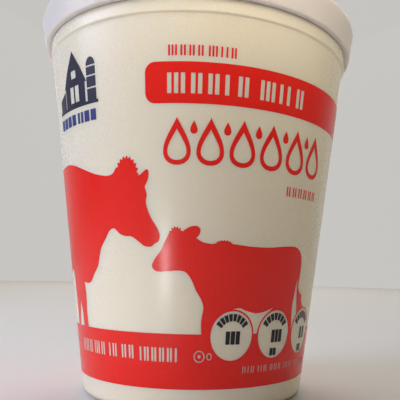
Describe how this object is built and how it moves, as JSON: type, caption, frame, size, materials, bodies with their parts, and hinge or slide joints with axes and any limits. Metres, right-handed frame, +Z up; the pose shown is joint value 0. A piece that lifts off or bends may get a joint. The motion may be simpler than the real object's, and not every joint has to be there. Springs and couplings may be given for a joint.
{
  "type": "ricotta tub",
  "caption": "Shut round plastic tub of soft cheese, tapered to a rounded heel, with a collar below its press-on lid and printed farm animals round the wall.",
  "frame": {"origin": "centre of the flat ring on the base that the tub stands on", "axes": "+Z up along the tub's axis; -Y is the printed front"},
  "size_m": [0.095, 0.095, 0.1088],
  "materials": {
    "tub": "cream-white satin moulded plastic",
    "lid": "white satin moulded plastic",
    "red_ink": "red print on the wall",
    "navy_ink": "navy print on the wall",
    "black_ink": "black print on the wall"
  },
  "bodies": {
    "root": {"tub": "tub", "lid": "lid"}
  },
  "joints": []
}
